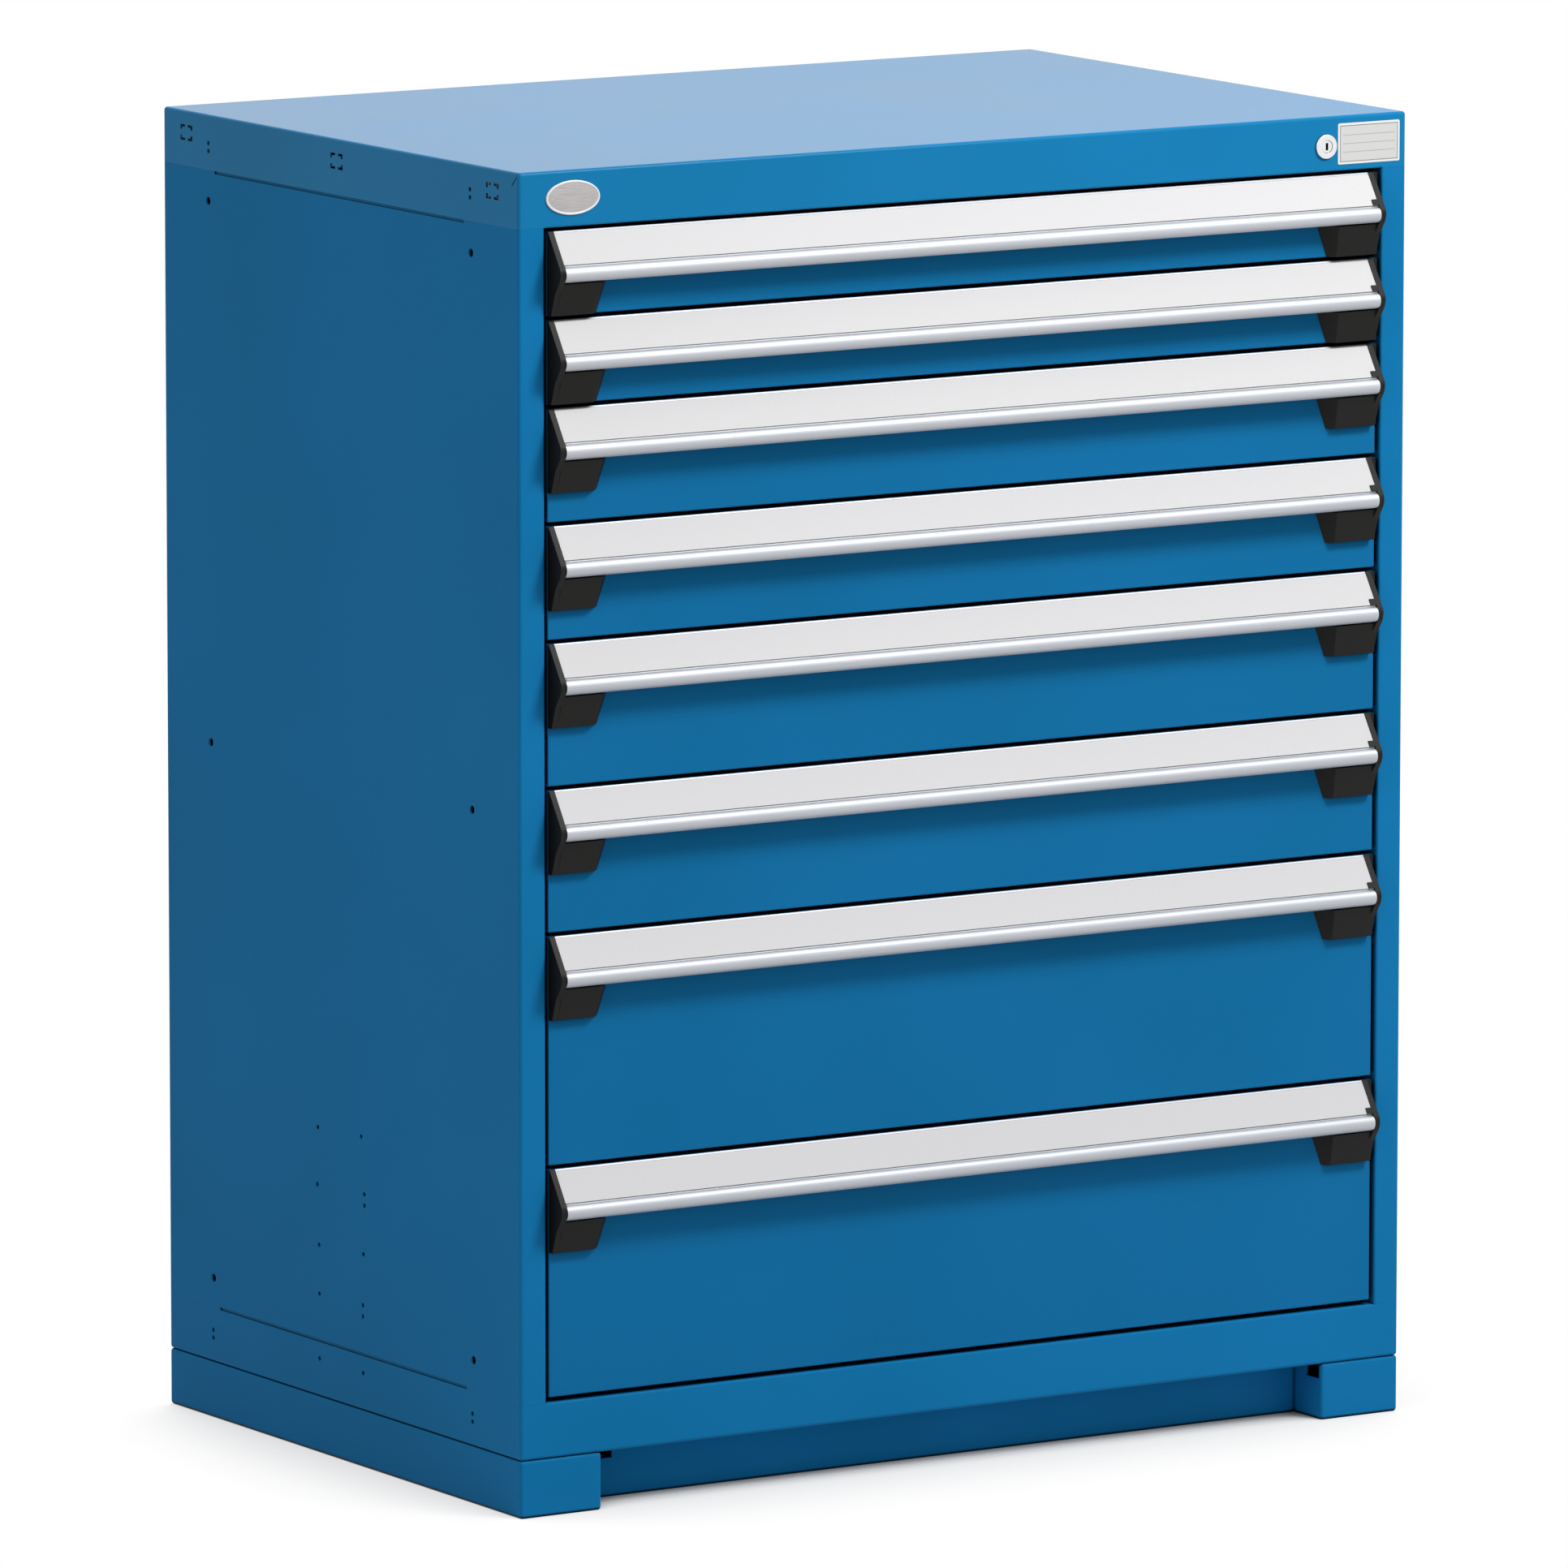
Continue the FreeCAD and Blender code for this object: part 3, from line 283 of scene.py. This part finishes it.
def nickelPlate():
    # Die-cast zinc with bright nickel: pale metal with faint turning marks round the face.
    # Shade is painted into its seams and slots.
    material, tree = newMaterial("nickelPlate", plating["light"])
    place = objectPlace(tree)
    marks = addNode(tree, "ShaderNodeTexNoise", {
        "Vector": place, "Scale": 1 / plating["lines"], "Detail": 2.0})
    colour = shades(tree, marks.outputs["Fac"], plating["dark"], plating["light"])
    shader = addNode(tree, "ShaderNodeBsdfPrincipled", {
        # painted shade: the colour darkened by ambient occlusion in seams and slots
        "Base Color": paintedGapShade(tree, colour, plating["gap"], *plating["gapShade"]),
        "Roughness": spread(tree, marks.outputs["Fac"], *plating["roughness"]),
        "Metallic": plating["metal"],
        "Normal": softEdges(tree, plating["edge"])})
    finishMaterial(tree, shader)
    return material


plate = {"dark": "#A9A6A6", "light": "#C6C3C2", "grain": 0.35 * mm, "length": 14 * mm,
         "roughness": (0.3, 0.45), "metal": 0.6}


def brushedPlate():
    # Aluminium brushed one way and lacquered: short fine scratches, each a little lighter or
    # darker. Real ones are under 0.1 mm apart; they are drawn coarser so that they show.
    material, tree = newMaterial("brushedPlate", plate["light"])
    place = objectPlace(tree, (1 / plate["length"], 1 / plate["grain"], 1 / plate["grain"]))
    scratches = addNode(tree, "ShaderNodeTexNoise", {"Vector": place, "Scale": 1.0, "Detail": 2.0})
    shader = addNode(tree, "ShaderNodeBsdfPrincipled", {
        "Base Color": shades(tree, scratches.outputs["Fac"], plate["dark"], plate["light"]),
        "Roughness": spread(tree, scratches.outputs["Fac"], *plate["roughness"]),
        "Metallic": plate["metal"]})
    finishMaterial(tree, shader)
    return material


enamel = {"dark": "#E9ECEF", "light": "#F3F5F7", "cloud": 8 * mm, "roughness": (0.15, 0.25)}


def whiteEnamel():
    # Stoved white enamel on a raised bead: glossy, with a slight unevenness in its tone.
    material, tree = newMaterial("whiteEnamel", enamel["light"])
    clouds = addNode(tree, "ShaderNodeTexNoise", {
        "Vector": objectPlace(tree), "Scale": 1 / enamel["cloud"]})
    shader = addNode(tree, "ShaderNodeBsdfPrincipled", {
        "Base Color": shades(tree, clouds.outputs["Fac"], enamel["dark"], enamel["light"]),
        "Roughness": spread(tree, clouds.outputs["Fac"], *enamel["roughness"])})
    finishMaterial(tree, shader)
    return material


finishes = {
    "blue_paint": powderCoatBlue("powderCoatBlue", paint["housing"], paint["specular"]),
    "zinc_steel": galvanisedSteel(),
    "tray_paint": powderCoatGrey(),
    "handle_silver": anodisedAluminium(),
    "label_white": labelCard(),
    "cap_black": mouldedBlack(),
    "lock_chrome": nickelPlate(),
    "badge_plate": nickelPlate(),
}

# painted light: the top gets a lighter, greener copy of the paint that mirrors more
ownFinish = {"top_pan": powderCoatBlue("powderCoatTopLit", paint["top"], paint["topLitSpecular"])}
# painted shade: the fronts get a copy of the paint a shade darker
frontShadedCoat = powderCoatBlue("powderCoatFrontsShaded", paint["fronts"], paint["specular"])
for number in range(1, drawerCount + 1):
    ownFinish[f"drawer_{number}_front"] = frontShadedCoat
slotOfNode = {entry["node"]: entry["material_slot"] for entry in frame["record"]["subparts"]}
for nodeName, part in frame["nodes"].items():
    part.data.materials.clear()
    part.data.materials.append(ownFinish.get(nodeName, finishes[slotOfNode[nodeName]]))
print("materials made:", len(bpy.data.materials))


# small pieces on the header, and the heads of the roller axles

sharpAngle = 40    # degrees; where faces meet at more than this, the edge stays crisp


def gridPiece(name, points, closeRows, material, body):
    # A mesh over grids of points, one for each copy: copies, rows, columns, place. The columns
    # close round. The rows close too, or else the first and last ring are filled.
    copies, rows, columns = points.shape[:3]
    index = np.arange(copies * rows * columns).reshape(copies, rows, columns)
    here, below = index[:, :-1], index[:, 1:]
    if closeRows:
        here, below = index, np.roll(index, -1, axis=1)
    quads = np.stack([here, below, np.roll(below, -1, axis=2), np.roll(here, -1, axis=2)], axis=-1)
    faces = quads.reshape(-1, 4).tolist()
    if not closeRows:
        faces += index[:, 0].tolist() + index[:, -1, ::-1].tolist()
    mesh = bpy.data.meshes.new(name)
    mesh.from_pydata(points.reshape(-1, 3).tolist(), [], faces)
    mesh.polygons.foreach_set("use_smooth", np.ones(len(faces), bool))
    mesh.set_sharp_from_angle(angle=math.radians(sharpAngle))
    mesh.materials.append(material)
    piece = bpy.data.objects.new(name, mesh)
    bpy.context.scene.collection.objects.link(piece)
    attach(piece, body)
    return piece


def raised(outline, profile, places, out, columns):
    # Rings that rise off a flat surface: the outline drawn in by each inset of the profile and
    # lifted by its height along the direction out, once at every place.
    turn = np.linspace(0, 2 * math.pi, columns, endpoint=False)
    inset, height = np.array(profile).T[:, :, None]
    sideways, upward = outline(turn[None, :], inset)
    up, out = np.array([0.0, 0.0, 1.0]), np.array(out)
    across = np.cross(up, out)
    ring = sideways[..., None] * across + upward[..., None] * up + height[..., None] * out
    return np.array(places)[:, None, None, :] + ring[None]


def oval(halfWidth, halfHeight):
    # x = (halfWidth - inset) cos turn, z = (halfHeight - inset) sin turn
    def outline(turn, inset):
        return (halfWidth - inset) * np.cos(turn), (halfHeight - inset) * np.sin(turn)
    return outline


def roundedRectangle(halfWidth, halfHeight, corner):
    # four quarter circles of the corner radius, one round the inner corner of each quadrant
    def outline(turn, inset):
        return ((halfWidth - corner) * np.sign(np.cos(turn)) + (corner - inset) * np.cos(turn),
                (halfHeight - corner) * np.sign(np.sin(turn)) + (corner - inset) * np.sin(turn))
    return outline


def dome(radius, edge, rise, steps=8, innermost=0.06):
    # Inset and height from the crown to the edge: height = edge + rise (1 - (r / radius) ** 2).
    # The innermost ring is a small share of the radius, and is filled.
    share = np.linspace(innermost, 1.0, steps)
    return [(radius * (1 - s), edge + rise * (1 - s * s)) for s in share]


housingLow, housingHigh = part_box("top_pan")
headerFace = housingLow.y
badge = {"bead": 1.1 * mm, "beadLift": 0.4, "beadSides": 16, "sunk": 1.0 * mm, "rise": 0.5 * mm,
         "columns": 120}


def ovalBadge():
    # A plain oval plate in a raised bead. The bead is round, and its middle stands beadLift of its
    # radius above the header.
    low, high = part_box("badge")
    width, height = (high.x - low.x) / 2, (high.z - low.z) / 2
    places = [((low.x + high.x) / 2, headerFace, (low.z + high.z) / 2)]
    turn = np.linspace(0, 2 * math.pi, badge["beadSides"], endpoint=False)
    bead = [(badge["bead"] * (1 + math.cos(angle)), badge["bead"] * (badge["beadLift"] + math.sin(angle)))
            for angle in turn]
    points = raised(oval(width, height), bead, places, (0, -1, 0), badge["columns"])
    rim = gridPiece("badgeRim", points, True, whiteEnamel(), "housing")
    inner = height - 2 * badge["bead"]
    crown = dome(inner, badge["sunk"], badge["rise"])
    face = [(2 * badge["bead"] + inset, level) for inset, level in crown]
    face += [(badge["bead"], badge["sunk"]), (badge["bead"], 0.0)]
    points = raised(oval(width, height), face, places, (0, -1, 0), badge["columns"])
    middle = gridPiece("badgeFace", points, False, brushedPlate(), "housing")
    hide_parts("badge")
    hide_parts("badge")


card = {"width": 65.5 * mm, "height": 36.4 * mm, "fromRight": 39.85 * mm, "fromTop": 25.0 * mm,
        "thickness": 0.35 * mm, "corner": 1.6 * mm, "edge": 0.12 * mm,
        "innermost": 0.9, "columns": 64,
        "border": 2.0 * mm, "line": 0.7 * mm, "pitch": 7.5 * mm, "margin": 5.0 * mm,
        "ink": "#4E4C4A", "paper": "#E9E9E8", "fieldInk": 0.22, "ruleInk": 0.28, "frameInk": 0.6,
        "roughness": 0.45, "specular": 0.3}


def ruledCard():
    # Printed paper under film: a white border round a grey field, with a dark frame and thin
    # ruled lines to write on, each with its share of full ink. The sheen is dull and even.
    material, tree = newMaterial("ruledCard", card["paper"])
    place = addNode(tree, "ShaderNodeTexCoord").outputs["Object"]
    middle = addNode(tree, "ShaderNodeVectorMath", {0: place, 1: cardPlace()}, operation="SUBTRACT")
    axes = addNode(tree, "ShaderNodeSeparateXYZ", {0: middle.outputs[0]})
    x, z = maths(tree, "ABSOLUTE", axes.outputs["X"]), maths(tree, "ABSOLUTE", axes.outputs["Z"])

    def inside(inset):
        return maths(tree, "MULTIPLY", maths(tree, "LESS_THAN", x, card["width"] / 2 - inset),
                     maths(tree, "LESS_THAN", z, card["height"] / 2 - inset))

    field = inside(card["border"])
    frameLine = maths(tree, "SUBTRACT", field, inside(card["border"] + card["line"]))
    rows = maths(tree, "PINGPONG", axes.outputs["Z"], card["pitch"] / 2)
    onRow = maths(tree, "LESS_THAN", rows, card["line"] / 2)
    ruled = maths(tree, "MULTIPLY", onRow, inside(card["margin"]))
    tone = maths(tree, "SUBTRACT", maths(tree, "MULTIPLY_ADD", field, -card["fieldInk"], 1.0),
                 maths(tree, "MULTIPLY_ADD", ruled, card["ruleInk"],
                       maths(tree, "MULTIPLY", frameLine, card["frameInk"])))
    shader = addNode(tree, "ShaderNodeBsdfPrincipled", {
        "Base Color": shades(tree, tone, card["ink"], card["paper"], 0.0, 1.0),
        "Roughness": card["roughness"], "Specular IOR Level": card["specular"]})
    finishMaterial(tree, shader)
    return material


def cardPlace():
    # the middle of the card, on the header
    return (housingHigh.x - card["fromRight"], headerFace, housingHigh.z - card["fromTop"])


def blankCard():
    # A thin card stuck on the header beside the lock, with nothing written on it. Its innermost
    # ring, a share of the corner radius in from the rim, is filled.
    outline = roundedRectangle(card["width"] / 2, card["height"] / 2, card["corner"])
    profile = [(card["corner"] * card["innermost"], card["thickness"]), (card["edge"], card["thickness"]),
               (0.0, card["thickness"] - card["edge"]), (0.0, 0.0)]
    points = raised(outline, profile, [cardPlace()], (0, -1, 0), card["columns"])
    gridPiece("blankCard", points, False, ruledCard(), "housing")


axle = {"radius": 4.2 * mm, "rise": 1.4 * mm, "edge": 0.5 * mm, "washer": 6.2 * mm,
        "washerThickness": 0.6 * mm, "steps": 6, "columns": 28}

# bar faces from the middle of the cabinet, and roller axles from the front end of the bar
carriage = {"barOuter": 429.5 * mm, "barInner": 426.5 * mm,
            "innerRollers": (12.0 * mm, 270.0 * mm), "outerRollers": (310.0 * mm, 540.0 * mm)}


def axleHeads(number, material):
    # a washer and a domed rivet head on the carriage bar, at the far side from each roller
    body = f"carriages_{number}"
    low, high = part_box(f"drawer_{number}_carriages")
    level = (low.z + high.z) / 2
    ring = axle["washer"] - axle["radius"]
    head = dome(axle["radius"], axle["edge"], axle["rise"] - axle["edge"], axle["steps"])
    profile = [(ring + inset, height + axle["washerThickness"]) for inset, height in head]
    profile += [(ring, axle["washerThickness"]), (0.0, axle["washerThickness"]), (0.0, 0.0)]
    outline = oval(axle["washer"], axle["washer"])
    for side, sideName in ((-1, "left"), (1, "right")):
        places = [(side * carriage["barOuter"], low.y + along, level) for along in carriage["innerRollers"]]
        outerPoints = raised(outline, profile, places, (side, 0, 0), axle["columns"])
        places = [(side * carriage["barInner"], low.y + along, level) for along in carriage["outerRollers"]]
        innerPoints = raised(outline, profile, places, (-side, 0, 0), axle["columns"])
        gridPiece(f"axleHeads_{number}_{sideName}", np.concatenate([outerPoints, innerPoints]), False,
                  material, body)


ovalBadge()
blankCard()
for number in range(1, drawerCount + 1):
    axleHeads(number, finishes["lock_chrome"])
print("small pieces made")


# studio

studio = {"ambient": 0.41, "floorSize": 24.0, "floorLight": "#E6E6E5", "floorDark": "#D0D0CF",
          "contactReach": 0.30, "contactShade": (0.0, 0.4, 0.0), "contactFade": (0.1, 0.72),
          "keyPlace": (1.3, -2.35, 3.4), "keySize": 1.0, "keyPower": 98.0, "keyTarget": (0.0, -0.3, 0.9),
          "fillPlace": (-3.6, -1.2, 2.6), "fillSize": 2.5, "fillPower": 15.5,
          "fillTarget": (-0.46, 0.0, 0.8),
          "topPlace": (0.3, 0.7, 3.3), "topSize": 0.9, "topPower": 17.0, "topTarget": (0.0, 0.1, 1.17)}


def seenOrMirrored(tree):
    # 1 for what the eye sees, also in metal and glass, and 0 for the light it gives to other things
    path = addNode(tree, "ShaderNodeLightPath")
    seen = maths(tree, "MAXIMUM", path.outputs["Is Camera Ray"], path.outputs["Is Glossy Ray"])
    return maths(tree, "MAXIMUM", seen, path.outputs["Is Transmission Ray"])


def whiteSurround():
    # white where it is seen or mirrored, and a plain even light on everything else
    world = bpy.data.worlds.new("surround")
    world.use_nodes = True
    tree = world.node_tree
    tree.nodes.clear()
    strength = addNode(tree, "ShaderNodeMapRange", {
        "Value": seenOrMirrored(tree), "To Min": studio["ambient"], "To Max": 1.0})
    light = addNode(tree, "ShaderNodeBackground", {"Color": (1, 1, 1, 1), "Strength": strength.outputs[0]})
    addNode(tree, "ShaderNodeOutputWorld", {"Surface": light.outputs[0]})
    bpy.context.scene.world = world


def paleFloor():
    # White to the eye, with a painted soft shadow where the cabinet stands on it: ambient
    # occlusion turns the white glow into a lit diffuse floor whose colour is darkened too. It is
    # darker in the light that it throws back.
    half = studio["floorSize"] / 2
    mesh = bpy.data.meshes.new("floor")
    corners = [(-half, -half, 0), (half, -half, 0), (half, half, 0), (-half, half, 0)]
    mesh.from_pydata(corners, [], [(0, 1, 2, 3)])
    floor = bpy.data.objects.new("floor", mesh)
    bpy.context.scene.collection.objects.link(floor)
    material, tree = newMaterial("paleFloor", studio["floorLight"])
    thrown = addNode(tree, "ShaderNodeBsdfDiffuse", {"Color": fromHex(studio["floorDark"])})
    pale = fromHex(studio["floorLight"])[:3]
    # painted shadow: the floor's colour darkened by ambient occlusion round the cabinet
    shadow = addNode(tree, "ShaderNodeBsdfDiffuse", {
        "Color": paintedGapShade(tree, pale, studio["contactReach"], *studio["contactShade"])})
    glow = addNode(tree, "ShaderNodeEmission", {"Strength": 1.0})
    # painted shadow: ambient occlusion fades the white glow into the shaded floor near the cabinet
    near = addNode(tree, "ShaderNodeAmbientOcclusion", {"Distance": studio["contactReach"]}, samples=16)
    closed, clearOf = studio["contactFade"]
    clear = addNode(tree, "ShaderNodeMapRange", {
        "Value": near.outputs["AO"], "From Min": closed, "From Max": clearOf})
    shown = addNode(tree, "ShaderNodeMixShader", {
        0: clear.outputs[0], 1: shadow.outputs[0], 2: glow.outputs[0]})
    finishMaterial(tree, addNode(tree, "ShaderNodeMixShader", {
        0: seenOrMirrored(tree), 1: thrown.outputs[0], 2: shown.outputs[0]}))
    mesh.materials.append(material)


def areaLamp(name):
    # a square soft box that faces its target
    place = Vector(studio[name + "Place"])
    data = bpy.data.lights.new(name + "Lamp", "AREA")
    data.shape = "SQUARE"
    data.size = studio[name + "Size"]
    data.energy = studio[name + "Power"]
    lamp = bpy.data.objects.new(name + "Lamp", data)
    lamp.location = place
    lamp.rotation_euler = (Vector(studio[name + "Target"]) - place).to_track_quat("-Z", "Y").to_euler()
    bpy.context.scene.collection.objects.link(lamp)


view = {"azimuth": -32.04, "elevation": 8.87, "roll": 0.04, "place": (-7.0775, -11.2993, 2.6466),
        "lens": 348.43, "sensor": 36.0, "clipEnd": 100.0}


def placeCamera():
    # the photograph's own viewpoint, fitted to the cabinet's corners
    data = bpy.data.cameras.new("camera")
    data.sensor_width = view["sensor"]
    data.lens = view["lens"]
    data.clip_end = view["clipEnd"]
    camera = bpy.data.objects.new("camera", data)
    turn = (Matrix.Rotation(math.radians(view["azimuth"]), 4, "Z")
            @ Matrix.Rotation(math.radians(90 - view["elevation"]), 4, "X")
            @ Matrix.Rotation(math.radians(view["roll"]), 4, "Z"))
    camera.matrix_world = Matrix.Translation(view["place"]) @ turn
    bpy.context.scene.collection.objects.link(camera)
    bpy.context.scene.camera = camera


whiteSurround()
paleFloor()
areaLamp("key")
areaLamp("fill")
areaLamp("top")
placeCamera()
bpy.context.scene.view_settings.view_transform = "Standard"
print("studio set")
